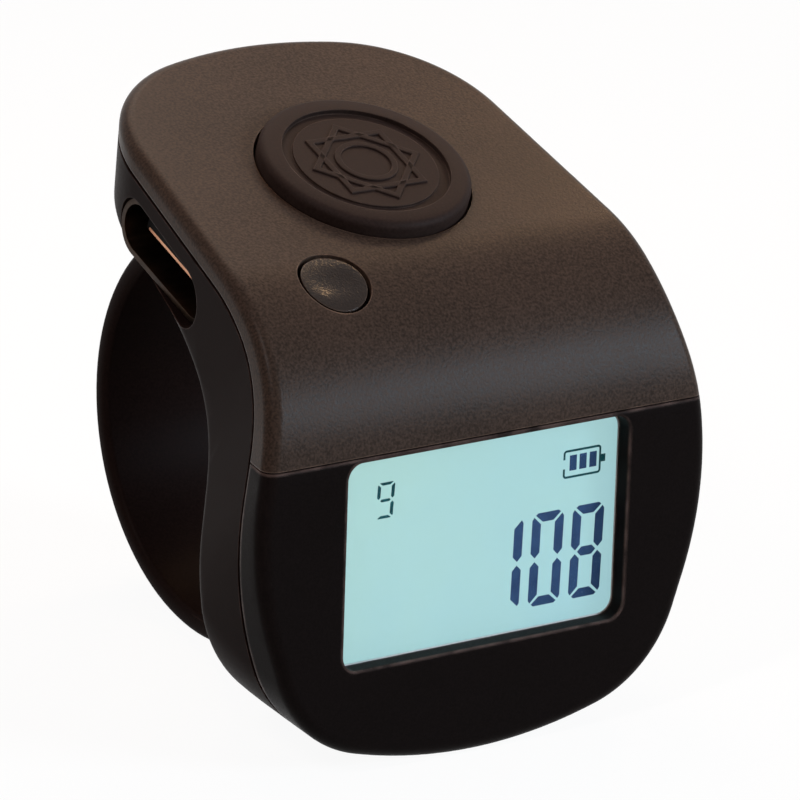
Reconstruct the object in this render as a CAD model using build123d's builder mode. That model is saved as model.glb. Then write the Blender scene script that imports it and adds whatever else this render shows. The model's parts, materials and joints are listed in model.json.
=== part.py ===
from build123d import *
import os
from math import asin, atan2, cos, degrees, hypot, radians, sin, tan

# Finger-ring tally counter. Millimetres and degrees.
# The origin is the centre of the finger hole. X runs along the hole, -Y faces the reader
# of the display, +Z is up as the counter stands on its ring and its lower front edge.
# "top" is the face with the buttons, "front" the face with the display.
# u runs along the top towards its back end, v runs up the front.

# Finger ring
BORE_RADIUS = 10.0
RING_WALL = 1.15
RING_WIDTH = 10.8
RIM_BEVEL = 0.24
RIM_EASE = 0.09

# Bent body: its thickness outside the ring at the top and at the front, and its bend
BEND_ANGLE = 68.9
TOP_DEPTH = 5.3
FRONT_DEPTH = 6.95
BEND_RADIUS = 10.5
FINGER_STEP = 0.3
NOSE_RISE = 5.0
BACK_RISE = 6.0

# Outline of the body: half-widths at its skin, where its ends are, and how far from their
# corners the curves of its sides begin
NOSE_U = 12.35
BOTTOM_V = -12.75
WIDEST_V = -0.4
NOSE_HALF_WIDTH = 10.7
BEND_HALF_WIDTH = 12.65
WIDEST_HALF_WIDTH = 14.5
BOTTOM_HALF_WIDTH = 10.4
BEND_SIDE_REACH = 2.55
WIDEST_SIDE_REACH = 3.75
NOSE_CROWN = 21.0
BOTTOM_CROWN = 28.0
NOSE_CORNER = 8.2
BOTTOM_CORNER = 6.6
SIDE_DRAFT = 6.0
NOSE_DRAFT = 12.0
BOTTOM_DRAFT = 11.5
CREASE_ROUND = 0.7
BACK_ROUND = 1.2

# Covers and shell
COVER_WALL = 1.0
SHELL_WALL = 1.2
BORE_WALL = 0.6
SKIRT_TOP = 0.25
SKIRT_FRONT = 1.2
GROOVE = 0.22
SEAM_LAND = 0.24
SEAM_GAP = 0.08

# Count button
COUNT_U = 0.0
COUNT_HOLE = 5.83
COUNT_GAP = 0.15
COUNT_RAISE = 0.8
COUNT_BEVEL = 0.27
COUNT_EASE = 0.1
COUNT_RIM = 1.18
COUNT_MOAT = 0.6
COUNT_RECESS = 0.28
COUNT_DISC = 0.13
COUNT_SKIRT = 0.8
COUNT_ROOF = 0.6
COUNT_POST = 1.6
COUNT_TRAVEL = 0.35
FLANGE_REACH = 0.6
FLANGE_THICK = 0.4
FLANGE_GAP = 0.1

# Reset button
RESET_X = -6.6
RESET_U = -7.86
RESET_HOLE = 1.98
RESET_GAP = 0.2
RESET_SUNK = 0.08
RESET_DISH = 9.0
RESET_DISH_DEPTH = 0.12
RESET_FLANGE = 2.3
RESET_FLANGE_THICK = 0.35
RESET_TRAVEL = 0.25

# Display
WINDOW_WIDTH = 17.6
WINDOW_HEIGHT = 11.1
WINDOW_CORNER = 0.9
WINDOW_V = -1.29
LENS_LAP = 0.5
STACK_CORNER = 0.6
STACK_GAP = 0.08
LENS_THICK = 0.6
LCD_THICK = 1.4
GUIDE_THICK = 1.4
DISPLAY_BOARD_THICK = 0.6
HOLDER_SIDE = 0.42
HOLDER_END = 0.3
HOLDER_CORNER = 1.2
LED_DEPTH = 0.6
LED_WIDTH = 2.0
LED_HEIGHT = 1.0
LED_PITCH = 5.0
STRIP_HEIGHT = 1.2
STRIP_WIDTH = 16.0

# Main board, hung from bosses under the top cover
BOSS_HEIGHT = 2.25
BOARD_THICK = 0.8
BOARD_NOSE_GAP = 3.35
BOARD_EDGE = 1.2
BOARD_FRONT = -3.0
BOARD_CORNER = 5.5
TAB_WIDTH = 6.2
TAB_END = 2.3
BACK_SCREW_X = 7.4
BACK_SCREW_INSET = 3.0
SIDE_SCREW_U = -1.2
BOSS_GAP = 0.5
BOSS_RADIUS = 1.1
SCREW_RADIUS = 0.5
SCREW_HEAD_RADIUS = 1.0
SCREW_HEAD = 0.5
SCREW_BITE = 1.3
SCREW_GAP = 0.08

# Switches on the board
COUNT_SWITCH = 5.2
COUNT_SWITCH_HEIGHT = 0.8
COUNT_STEM = 1.3
RESET_SWITCH = 3.0
RESET_SWITCH_HEIGHT = 0.55
RESET_STEM = 0.6
STEM_GAP = 0.12
PRESS_GAP = 0.05
STEM_CLEAR = 0.1

# Charging socket
USB_U = 0.25
USB_WIDTH = 8.94
USB_HEIGHT = 3.2
USB_WALL = 0.3
USB_RECESS = 0.72
USB_LENGTH = 6.6
USB_GAP = 0.08
TONGUE_WIDTH = 6.7
TONGUE_THICK = 0.7
TONGUE_RECESS = 0.9
SOCKET_BACK = 1.6
CONTACT_COUNT = 8
CONTACT_PITCH = 0.75
CONTACT_WIDTH = 0.3
CONTACT_THICK = 0.1
WING_LENGTH = 2.0
WING_WIDTH = 0.8
WING_THICK = 0.2

# Battery in the bend
CELL_GAP = 0.6
CELL_LENGTH = 10.4
CELL_THICK = 3.0
CELL_WIDTH = 6.2
CELL_ACROSS = 1.0
CELL_ROUND = 0.7
TAPE_LENGTH = 7.4
TAPE_WIDTH = 2.0
TAPE_THICK = 0.8
TAPE_GAP = 0.05
LEAD_PITCH = 1.6
LEAD_WIDTH = 0.8
LEAD_THICK = 0.15
LEAD_LENGTH = 1.8

# Ribbon cable between the boards
RIBBON_WIDTH = 3.2
RIBBON_THICK = 0.14
RIBBON_LOW_V = 2.0
RIBBON_BACK_U = -6.0
RIBBON_BEND = 0.8

# Chips, as (x, inset from the board's back edge) and (length, width, height)
CONTROLLER_PLACE = (4.6, 6.0)
CONTROLLER = (4.0, 4.0, 0.8)
CHARGER_PLACE = (5.4, 10.2)
CHARGER = (1.6, 2.9, 0.9)
CRYSTAL_PLACE = (0.5, 2.2)
CRYSTAL = (3.2, 1.5, 0.7)
CHIP_PART = (1.0, 0.5, 0.5)
CHIP_PLACES = [(-2.0, 3.8), (2.0, 3.8), (-2.0, 1.6), (2.0, 1.6), (5.4, 8.1), (7.4, 6.4)]

# Working values that follow from the sizes above
MARGIN = 30.0
RUN_OUT = 15.0
NEAR = 0.001
BEND = radians(BEND_ANGLE)
HALF_BEND = BEND / 2
RING_RADIUS = BORE_RADIUS + RING_WALL
BODY_RADIUS = BORE_RADIUS + FINGER_STEP
TOP_HEIGHT = RING_RADIUS + TOP_DEPTH
FRONT_REACH = RING_RADIUS + FRONT_DEPTH


def resting_lean():
    """Lean at which the ring and the lower front edge touch one flat surface."""
    reach = FRONT_REACH - CREASE_ROUND
    level = BOTTOM_V + CREASE_ROUND / tan(radians(90 - BOTTOM_DRAFT) / 2)
    sink = asin((CREASE_ROUND - RING_RADIUS) / hypot(reach, level))
    return degrees(sink - atan2(level, reach))


LEAN = resting_lean()


def tilted_plane(angle):
    """Plane through the finger axis whose normal stands this angle above -Y."""
    turn = radians(angle)
    return Plane(origin=(0, 0, 0), x_dir=(1, 0, 0), z_dir=(0, -cos(turn), sin(turn)))


FRONT = tilted_plane(LEAN)
TOP = tilted_plane(LEAN + BEND_ANGLE)
MITRE = tilted_plane(LEAN + BEND_ANGLE / 2)
SIDE = Plane(origin=(0, 0, 0), x_dir=FRONT.z_dir, z_dir=(-1, 0, 0))


def from_top(u, n):
    """Side-view point (reach, v) of a place u along the top, n above the finger axis."""
    return (cos(BEND) * n - sin(BEND) * u, sin(BEND) * n + cos(BEND) * u)


def to_top(reach, v):
    """The place (u, n) of a side-view point."""
    return (-sin(BEND) * reach + cos(BEND) * v, cos(BEND) * reach + sin(BEND) * v)


def skin_corner(depth_top, depth_front):
    """Side-view point where the top and front skins would meet without the bend."""
    reach = FRONT_REACH - depth_front
    return (reach, (TOP_HEIGHT - depth_top - cos(BEND) * reach) / sin(BEND))


CORNER = skin_corner(0, 0)
BEND_REACH = FRONT_REACH - BEND_RADIUS
BEND_V = CORNER[1] - BEND_RADIUS * tan(HALF_BEND)
BEND_U = to_top(BEND_REACH, BEND_V)[0]


def bend_section(depth_top, depth_front, inner_radius):
    """Side view of the bent slab from a depth under its skin down to a finger radius."""
    nose = from_top(MARGIN, TOP_HEIGHT - depth_top)
    foot = (FRONT_REACH - depth_front, -MARGIN)
    low = radians(BACK_RISE)
    high = BEND - radians(NOSE_RISE)
    middle = (low + high) / 2
    low_touch = (inner_radius * cos(low), inner_radius * sin(low))
    high_touch = (inner_radius * cos(high), inner_radius * sin(high))
    low_end = (low_touch[0] + MARGIN * sin(low), low_touch[1] - MARGIN * cos(low))
    high_end = (high_touch[0] - MARGIN * sin(high), high_touch[1] + MARGIN * cos(high))
    with BuildSketch(SIDE) as section:
        with BuildLine():
            FilletPolyline(
                nose,
                skin_corner(depth_top, depth_front),
                foot,
                radius=BEND_RADIUS - max(depth_top, depth_front),
            )
            Polyline(foot, low_end, low_touch)
            ThreePointArc(
                low_touch,
                (inner_radius * cos(middle), inner_radius * sin(middle)),
                high_touch,
            )
            Polyline(high_touch, high_end, nose)
        make_face()
    return section.sketch


def mitre_place(reach, v):
    """Place across the mitre and height along its normal of a side-view point."""
    across = -sin(HALF_BEND) * reach + cos(HALF_BEND) * v
    height = cos(HALF_BEND) * reach + sin(HALF_BEND) * v
    return (across, height)


MITRE_TOP = mitre_place(*CORNER)[1]
MITRE_LOW = -BORE_RADIUS


def side_outline(inset, level):
    """Barrel outline of the body at a level of the mitre, narrower the lower it lies."""
    slope = tan(radians(SIDE_DRAFT))
    crest = BEND_RADIUS / cos(HALF_BEND) - BEND_RADIUS
    nose, nose_height = mitre_place(*from_top(NOSE_U, TOP_HEIGHT))
    bend, bend_height = mitre_place(*CORNER)
    widest, widest_height = mitre_place(FRONT_REACH, WIDEST_V)
    bottom, bottom_height = mitre_place(FRONT_REACH, BOTTOM_V)

    def half_width(width, height):
        return width - inset + slope * (level - height)

    nose_point = Vector(half_width(NOSE_HALF_WIDTH, nose_height), nose)
    bend_point = Vector(half_width(BEND_HALF_WIDTH, bend_height - crest), bend)
    widest_point = Vector(half_width(WIDEST_HALF_WIDTH, widest_height), widest)
    bottom_point = Vector(half_width(BOTTOM_HALF_WIDTH, bottom_height), bottom)
    nose_end = nose_point + (nose_point - bend_point).normalized() * RUN_OUT
    bottom_end = bottom_point + (bottom_point - widest_point).normalized() * RUN_OUT
    middle = widest_point - bend_point
    bend_turn = radians(middle.get_angle(bend_point - nose_point))
    widest_turn = radians(middle.get_angle(bottom_point - widest_point))
    bend_curve = BEND_SIDE_REACH / tan(bend_turn / 2)
    widest_curve = WIDEST_SIDE_REACH / tan(widest_turn / 2)
    with BuildSketch(MITRE.offset(level)) as outline:
        with BuildLine():
            FilletPolyline(
                nose_end,
                bend_point,
                widest_point,
                bottom_end,
                radius=[bend_curve, widest_curve],
            )
            Line(nose_end, (0, nose_end.Y))
            Line(bottom_end, (0, bottom_end.Y))
            mirror(about=Plane.YZ)
        make_face()
    return outline.sketch


def crowned_end(plane, end, crown, inset):
    """Wide face on a plane with a slightly crowned edge at this end."""
    direction = 1 if end > 0 else -1
    away = Align.MAX if end > 0 else Align.MIN
    with BuildSketch(plane) as outline:
        with Locations((0, end - direction * (inset + crown))):
            Circle(crown)
            Rectangle(2 * crown, 4 * MARGIN, align=(Align.CENTER, away))
    return outline.sketch


def end_corner_edges(edges, plane, end):
    """The two edges where the side walls meet the wall at this end of a face."""
    direction = 1 if end > 0 else -1

    def runs_inwards(edge):
        drop = plane.to_local_coords(edge @ 0).Z - plane.to_local_coords(edge @ 1).Z
        return abs(drop) > COVER_WALL

    def end_distance(edge):
        return direction * plane.to_local_coords(edge @ 0.5).Y

    return edges.filter_by(runs_inwards).sort_by(end_distance)[-2:]


def housing_form(depth, inset, inner_radius):
    """The bent body, or a smaller copy of it inside its walls."""
    with BuildPart() as form:
        extrude(bend_section(depth, depth, inner_radius), amount=MARGIN, both=True)
        loft(
            [side_outline(inset, MITRE_TOP), side_outline(inset, MITRE_LOW)],
            ruled=True,
            mode=Mode.INTERSECT,
        )
        extrude(
            crowned_end(TOP.offset(TOP_HEIGHT), NOSE_U, NOSE_CROWN, inset),
            amount=2 * MARGIN,
            dir=-TOP.z_dir - TOP.y_dir * tan(radians(NOSE_DRAFT)),
            mode=Mode.INTERSECT,
        )
        extrude(
            crowned_end(FRONT.offset(FRONT_REACH), BOTTOM_V, BOTTOM_CROWN, inset),
            amount=2 * MARGIN,
            dir=-FRONT.z_dir + FRONT.y_dir * tan(radians(BOTTOM_DRAFT)),
            mode=Mode.INTERSECT,
        )
        fillet(end_corner_edges(form.edges(), TOP, NOSE_U), NOSE_CORNER - 2 * inset)
        fillet(end_corner_edges(form.edges(), FRONT, BOTTOM_V), BOTTOM_CORNER - 2 * inset)
    return form.part


def skin_gap(point):
    """Distance of a point from the outer skin, seen from the side."""
    local = SIDE.to_local_coords(point)
    u, n = to_top(local.X, local.Y)
    if u >= BEND_U:
        return abs(n - TOP_HEIGHT)
    if local.Y <= BEND_V:
        return abs(local.X - FRONT_REACH)
    return abs(hypot(local.X - BEND_REACH, local.Y - BEND_V) - BEND_RADIUS)


def back_gap(point):
    """Distance of a point from the finger side of the body, seen from the side."""
    local = SIDE.to_local_coords(point)
    low = radians(BACK_RISE)
    high = BEND - radians(NOSE_RISE)
    if local.Y * cos(low) < local.X * sin(low):
        return abs(local.X * cos(low) + local.Y * sin(low) - BODY_RADIUS)
    if local.Y * cos(high) > local.X * sin(high):
        return abs(local.X * cos(high) + local.Y * sin(high) - BODY_RADIUS)
    return abs(hypot(local.X, local.Y) - BODY_RADIUS)


def runs_on(gap):
    """Test for edges that lie on a skin, given the distance of a point from it."""

    def lies_on(edge):
        return max(gap(edge @ 0), gap(edge @ 0.5), gap(edge @ 1)) < NEAR

    return lies_on


os.makedirs("parts", exist_ok=True)

# Body form, its cavity and what lies under the parting line
with BuildPart() as body:
    add(housing_form(0, 0, BODY_RADIUS))
    fillet(body.edges().filter_by(Axis.X, reverse=True).filter_by(runs_on(skin_gap)), CREASE_ROUND)
    fillet(body.edges().filter_by(Axis.X, reverse=True).filter_by(runs_on(back_gap)), BACK_ROUND)

cavity = housing_form(COVER_WALL, SHELL_WALL, BODY_RADIUS + BORE_WALL)

parting_top = COVER_WALL + SKIRT_TOP
parting_front = COVER_WALL + SKIRT_FRONT
with BuildPart() as under_parting:
    extrude(bend_section(parting_top, parting_front, BODY_RADIUS / 2), amount=MARGIN, both=True)

with BuildPart() as parting_groove:
    add(under_parting.part)
    extrude(
        bend_section(parting_top + GROOVE, parting_front + GROOVE, BODY_RADIUS / 4),
        amount=MARGIN,
        both=True,
        mode=Mode.SUBTRACT,
    )
    add(housing_form(0, GROOVE, BODY_RADIUS), mode=Mode.SUBTRACT)

seam_v = WINDOW_V + WINDOW_HEIGHT / 2 + SEAM_LAND
seam = Plane(origin=FRONT.from_local_coords((0, seam_v, 0)), x_dir=(1, 0, 0), z_dir=FRONT.y_dir)
cover_inside = TOP_HEIGHT - COVER_WALL
front_inside = FRONT_REACH - COVER_WALL
board_top = cover_inside - BOSS_HEIGHT
board_low = board_top - BOARD_THICK
board_back = NOSE_U - BOARD_NOSE_GAP
side_screw_x = COUNT_HOLE + FLANGE_REACH + BOSS_GAP + BOSS_RADIUS
back_screw_u = board_back - BACK_SCREW_INSET
board_screw_places = [
    (BACK_SCREW_X, back_screw_u),
    (-BACK_SCREW_X, back_screw_u),
    (side_screw_x, SIDE_SCREW_U),
]

# Flat seat for the display holder, cut into the inside of both covers
stack_width = WINDOW_WIDTH + 2 * LENS_LAP
stack_height = WINDOW_HEIGHT + 2 * LENS_LAP
holder_width = stack_width + 2 * (STACK_GAP + HOLDER_SIDE)
holder_height = stack_height + 2 * (STACK_GAP + HOLDER_END)
with BuildPart() as display_seat:
    with BuildSketch(FRONT.offset(front_inside - 2 * COVER_WALL)):
        with Locations((0, WINDOW_V)):
            RectangleRounded(
                holder_width + 2 * STACK_GAP, holder_height + 2 * STACK_GAP, HOLDER_CORNER
            )
    extrude(amount=2 * COVER_WALL)

# Top cover with both button holes and the bosses for the board
with BuildPart() as top_cover:
    add(body.part)
    add(under_parting.part, mode=Mode.SUBTRACT)
    add(cavity, mode=Mode.SUBTRACT)
    add(display_seat.part, mode=Mode.SUBTRACT)
    split(bisect_by=seam.offset(SEAM_GAP / 2), keep=Keep.TOP)
    with BuildSketch(TOP):
        with Locations((0, COUNT_U)):
            Circle(COUNT_HOLE)
        with Locations((RESET_X, RESET_U)):
            Circle(RESET_HOLE)
    extrude(amount=TOP_HEIGHT + MARGIN, mode=Mode.SUBTRACT)
    with BuildSketch(TOP.offset(board_top)):
        with Locations(*board_screw_places):
            Circle(BOSS_RADIUS)
            Circle(SCREW_RADIUS + SCREW_GAP, mode=Mode.SUBTRACT)
    extrude(amount=cover_inside - board_top)
top_cover.part.label = "top_cover"
export_step(top_cover.part, "parts/top_cover.step")

# Front cover round the display opening
with BuildPart() as front_cover:
    add(body.part)
    add(under_parting.part, mode=Mode.SUBTRACT)
    add(cavity, mode=Mode.SUBTRACT)
    add(display_seat.part, mode=Mode.SUBTRACT)
    split(bisect_by=seam.offset(-SEAM_GAP / 2), keep=Keep.BOTTOM)
    with BuildSketch(FRONT.offset(front_inside - COVER_WALL)):
        with Locations((0, WINDOW_V)):
            RectangleRounded(WINDOW_WIDTH, WINDOW_HEIGHT, WINDOW_CORNER)
    extrude(amount=3 * COVER_WALL, mode=Mode.SUBTRACT)
front_cover.part.label = "front_cover"
export_step(front_cover.part, "parts/front_cover.step")

# Finger ring, moulded in one with the rear shell, its rims bevelled and the bevels eased
with BuildPart() as ring:
    with BuildSketch(Plane.XY) as ring_profile:
        with Locations((0, BORE_RADIUS)):
            Rectangle(RING_WIDTH, RING_WALL, align=(Align.CENTER, Align.MIN))
        chamfer(ring_profile.vertices(), RIM_BEVEL)
        chamfer(ring_profile.vertices(), RIM_EASE)
    revolve(axis=Axis.X)

# The charging socket sits in the board, its mouth just inside the left wall
usb_mouth = USB_RECESS - (NOSE_HALF_WIDTH + BEND_HALF_WIDTH) / 2
usb_plane = Plane(
    origin=TOP.from_local_coords((usb_mouth, USB_U, board_low)),
    x_dir=TOP.y_dir,
    z_dir=(1, 0, 0),
)

with BuildPart() as rear_shell:
    add(body.part)
    add(under_parting.part, mode=Mode.INTERSECT)
    add(cavity, mode=Mode.SUBTRACT)
    add(parting_groove.part, mode=Mode.SUBTRACT)
    add(ring.part)
    with BuildSketch(usb_plane.offset(-MARGIN)):
        SlotOverall(USB_WIDTH + 2 * USB_GAP, USB_HEIGHT + 2 * USB_GAP)
    extrude(amount=MARGIN + USB_LENGTH + USB_GAP, mode=Mode.SUBTRACT)
rear_shell.part.label = "rear_shell"
export_step(rear_shell.part, "parts/rear_shell.step")

# Count button: a cap with a disc in its recessed centre, a skirt with a flange, and a post
count_axis_plane = Plane(
    origin=TOP.from_local_coords((0, COUNT_U, 0)), x_dir=(1, 0, 0), z_dir=-TOP.y_dir
)
count_radius = COUNT_HOLE - COUNT_GAP
count_top = TOP_HEIGHT + COUNT_RAISE
count_flange_top = cover_inside - FLANGE_GAP
count_flange_low = count_flange_top - FLANGE_THICK
count_under = count_top - COUNT_RECESS - COUNT_ROOF
count_rim = count_radius - COUNT_RIM
count_moat = count_top - COUNT_RECESS
count_disc = count_moat + COUNT_DISC
count_stem_top = board_top + COUNT_SWITCH_HEIGHT + COUNT_TRAVEL + STEM_CLEAR
count_axis = Axis(origin=count_axis_plane.origin, direction=TOP.z_dir)
with BuildPart() as count_button:
    with BuildSketch(count_axis_plane) as count_profile:
        with BuildLine():
            Polyline(
                (count_radius, count_top),
                (count_rim, count_top),
                (count_rim, count_moat),
                (count_rim - COUNT_MOAT, count_moat),
                (count_rim - COUNT_MOAT, count_disc),
                (0, count_disc),
                (0, count_stem_top + PRESS_GAP),
                (COUNT_POST, count_stem_top + PRESS_GAP),
                (COUNT_POST, count_under),
                (count_radius - COUNT_SKIRT, count_under),
                (count_radius - COUNT_SKIRT, count_flange_low),
                (COUNT_HOLE + FLANGE_REACH, count_flange_low),
                (COUNT_HOLE + FLANGE_REACH, count_flange_top),
                (count_radius, count_flange_top),
                close=True,
            )
        make_face()
        rim_corner = count_profile.vertices().group_by(Axis.Y)[-1].sort_by(Axis.X)[-1]
        chamfer(rim_corner, COUNT_BEVEL)
        rim_corners = count_profile.vertices().sort_by_distance((count_radius, count_top))[:2]
        chamfer(rim_corners, COUNT_EASE)
    revolve(axis=count_axis)
count_button.part.label = "count_button"
export_step(count_button.part, "parts/count_button.step")

# Reset button: its top follows the bend and is slightly dished
reset_radius = RESET_HOLE - RESET_GAP
reset_stem_top = board_top + RESET_SWITCH_HEIGHT + RESET_TRAVEL
reset_flange_low = reset_stem_top + PRESS_GAP
reset_skin = to_top(BEND_REACH, BEND_V)[1] + (BEND_RADIUS**2 - (RESET_U - BEND_U) ** 2) ** 0.5
reset_tilt = Vector(0, RESET_U - BEND_U, reset_skin - TOP_HEIGHT + BEND_RADIUS)
with BuildPart() as reset_button:
    with BuildSketch(TOP.offset(reset_flange_low)):
        with Locations((RESET_X, RESET_U)):
            Circle(reset_radius)
    extrude(amount=MARGIN)
    extrude(
        bend_section(RESET_SUNK, RESET_SUNK, BODY_RADIUS),
        amount=MARGIN,
        both=True,
        mode=Mode.INTERSECT,
    )
    with BuildSketch(TOP.offset(reset_flange_low)):
        with Locations((RESET_X, RESET_U)):
            Circle(RESET_FLANGE)
    extrude(amount=RESET_FLANGE_THICK)
    dish_low = Vector(RESET_X, RESET_U, reset_skin - RESET_SUNK - RESET_DISH_DEPTH)
    dish_centre = TOP.from_local_coords(dish_low + reset_tilt.normalized() * RESET_DISH)
    with Locations(dish_centre):
        Sphere(RESET_DISH, mode=Mode.SUBTRACT)
reset_button.part.label = "reset_button"
export_step(reset_button.part, "parts/reset_button.step")

# Display stack, from the clear plate back to its board
lens_back = front_inside - LENS_THICK
lcd_back = lens_back - LCD_THICK
guide_back = lcd_back - GUIDE_THICK
display_board_back = guide_back - DISPLAY_BOARD_THICK


def stack_layer(back, thick):
    """One full-size layer of the display stack."""
    with BuildSketch(FRONT.offset(back)) as layer:
        with Locations((0, WINDOW_V)):
            RectangleRounded(stack_width, stack_height, STACK_CORNER)
    extrude(layer.sketch, amount=thick)


with BuildPart() as display_window:
    stack_layer(lens_back, LENS_THICK)
display_window.part.label = "display_window"
export_step(display_window.part, "parts/display_window.step")

with BuildPart() as lcd_panel:
    stack_layer(lcd_back, LCD_THICK)
lcd_panel.part.label = "lcd_panel"
export_step(lcd_panel.part, "parts/lcd_panel.step")

with BuildPart() as display_board:
    stack_layer(display_board_back, DISPLAY_BOARD_THICK)
display_board.part.label = "display_board"
export_step(display_board.part, "parts/display_board.step")

# The light guide leaves room for the lamps on its right and the contact strip above it
guide_width = stack_width - LED_DEPTH
guide_height = stack_height - STRIP_HEIGHT
strip_v = WINDOW_V + stack_height / 2 - STRIP_HEIGHT / 2
with BuildPart() as backlight_guide:
    with BuildSketch(FRONT.offset(guide_back)):
        with Locations((-LED_DEPTH / 2, WINDOW_V - STRIP_HEIGHT / 2)):
            RectangleRounded(guide_width, guide_height, STACK_CORNER)
    extrude(amount=GUIDE_THICK)
backlight_guide.part.label = "backlight_guide"
export_step(backlight_guide.part, "parts/backlight_guide.step")

with BuildPart() as backlight_leds:
    with BuildSketch(FRONT.offset(guide_back)):
        with Locations(((stack_width - LED_DEPTH) / 2, WINDOW_V - STRIP_HEIGHT / 2)):
            with GridLocations(0, LED_PITCH, 1, 2):
                Rectangle(LED_DEPTH, LED_WIDTH)
    extrude(amount=LED_HEIGHT)
backlight_leds.part.label = "backlight_leds"
export_step(backlight_leds.part, "parts/backlight_leds.step")

with BuildPart() as contact_strip:
    with BuildSketch(FRONT.offset(guide_back)):
        with Locations((0, strip_v)):
            Rectangle(STRIP_WIDTH, STRIP_HEIGHT)
    extrude(amount=GUIDE_THICK)
contact_strip.part.label = "contact_strip"
export_step(contact_strip.part, "parts/contact_strip.step")

holder_depth = front_inside - display_board_back
with BuildPart() as display_holder:
    with BuildSketch(FRONT.offset(display_board_back)):
        with Locations((0, WINDOW_V)):
            RectangleRounded(holder_width, holder_height, HOLDER_CORNER)
            RectangleRounded(
                stack_width + 2 * STACK_GAP,
                stack_height + 2 * STACK_GAP,
                STACK_CORNER + STACK_GAP,
                mode=Mode.SUBTRACT,
            )
    extrude(amount=holder_depth)
display_holder.part.label = "display_holder"
export_step(display_holder.part, "parts/display_holder.step")

# Main board, with a tab for the reset switch and a notch for the charging socket
usb_inner_end = usb_mouth + USB_LENGTH
with BuildPart() as main_board:
    with BuildSketch(TOP.offset(board_low)) as board_sketch:
        with Locations((0, BOARD_FRONT)):
            Rectangle(
                2 * (side_screw_x + BOARD_EDGE),
                board_back - BOARD_FRONT,
                align=(Align.CENTER, Align.MIN),
            )
        fillet(board_sketch.vertices().group_by(Axis.Y)[-1], BOARD_CORNER)
        with Locations((RESET_X, RESET_U - TAB_END)):
            Rectangle(
                TAB_WIDTH,
                BOARD_FRONT - RESET_U + TAB_END,
                align=(Align.CENTER, Align.MIN),
            )
        with Locations((usb_inner_end + USB_GAP, USB_U)):
            Rectangle(
                USB_LENGTH + MARGIN,
                USB_WIDTH + 2 * USB_GAP,
                align=(Align.MAX, Align.CENTER),
                mode=Mode.SUBTRACT,
            )
        with Locations(*board_screw_places):
            Circle(SCREW_RADIUS + SCREW_GAP, mode=Mode.SUBTRACT)
    extrude(amount=BOARD_THICK)
main_board.part.label = "main_board"
export_step(main_board.part, "parts/main_board.step")

# Screws that hold the board to the bosses of the top cover
with BuildPart() as board_screws:
    with BuildSketch(TOP.offset(board_low)):
        with Locations(*board_screw_places):
            Circle(SCREW_HEAD_RADIUS)
    extrude(amount=-SCREW_HEAD)
    with BuildSketch(TOP.offset(board_low)):
        with Locations(*board_screw_places):
            Circle(SCREW_RADIUS)
    extrude(amount=BOARD_THICK + SCREW_BITE)
board_screws.part.label = "board_screws"
export_step(board_screws.part, "parts/board_screws.step")


def switch_body(place, size, height, stem_radius):
    """Square switch on the board with a well for its stem."""
    with BuildSketch(TOP.offset(board_top)) as outline:
        with Locations(place):
            Rectangle(size, size)
            Circle(stem_radius + STEM_GAP, mode=Mode.SUBTRACT)
    extrude(outline.sketch, amount=height)


def switch_stem(place, radius, low, high):
    """Round stem that the button presses into its switch."""
    with BuildSketch(TOP.offset(low)) as outline:
        with Locations(place):
            Circle(radius)
    extrude(outline.sketch, amount=high - low)


with BuildPart() as count_switch:
    switch_body((0, COUNT_U), COUNT_SWITCH, COUNT_SWITCH_HEIGHT, COUNT_STEM)
count_switch.part.label = "count_switch"
export_step(count_switch.part, "parts/count_switch.step")

with BuildPart() as count_stem:
    switch_stem((0, COUNT_U), COUNT_STEM, board_top + COUNT_TRAVEL + STEM_CLEAR, count_stem_top)
count_stem.part.label = "count_stem"
export_step(count_stem.part, "parts/count_stem.step")

with BuildPart() as reset_switch:
    switch_body((RESET_X, RESET_U), RESET_SWITCH, RESET_SWITCH_HEIGHT, RESET_STEM)
reset_switch.part.label = "reset_switch"
export_step(reset_switch.part, "parts/reset_switch.step")

with BuildPart() as reset_stem:
    switch_stem(
        (RESET_X, RESET_U), RESET_STEM, board_top + RESET_TRAVEL + STEM_CLEAR, reset_stem_top
    )
reset_stem.part.label = "reset_stem"
export_step(reset_stem.part, "parts/reset_stem.step")

# Charging socket: drawn shell, insulator with its tongue, and the contacts
with BuildPart() as usb_shell:
    with BuildSketch(usb_plane):
        SlotOverall(USB_WIDTH, USB_HEIGHT)
        SlotOverall(USB_WIDTH - 2 * USB_WALL, USB_HEIGHT - 2 * USB_WALL, mode=Mode.SUBTRACT)
    extrude(amount=USB_LENGTH)
    wing_x = usb_mouth + USB_LENGTH - WING_LENGTH / 2
    with BuildSketch(TOP.offset(board_top)):
        for side in (-1, 1):
            with Locations((wing_x, USB_U + side * (USB_WIDTH - USB_HEIGHT / 2) / 2)):
                Rectangle(WING_LENGTH, USB_HEIGHT / 2 + 2 * WING_WIDTH)
    extrude(amount=WING_THICK)
    with BuildSketch(usb_plane):
        SlotOverall(USB_WIDTH - 2 * USB_WALL, USB_HEIGHT - 2 * USB_WALL)
    extrude(amount=USB_LENGTH, mode=Mode.SUBTRACT)
usb_shell.part.label = "usb_shell"
export_step(usb_shell.part, "parts/usb_shell.step")

with BuildPart() as usb_tongue:
    with BuildSketch(usb_plane.offset(USB_LENGTH - SOCKET_BACK)):
        SlotOverall(USB_WIDTH - 2 * USB_WALL, USB_HEIGHT - 2 * USB_WALL)
    extrude(amount=SOCKET_BACK)
    with BuildSketch(usb_plane.offset(TONGUE_RECESS)):
        Rectangle(TONGUE_WIDTH, TONGUE_THICK)
    extrude(amount=USB_LENGTH - SOCKET_BACK - TONGUE_RECESS)
usb_tongue.part.label = "usb_tongue"
export_step(usb_tongue.part, "parts/usb_tongue.step")

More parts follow.
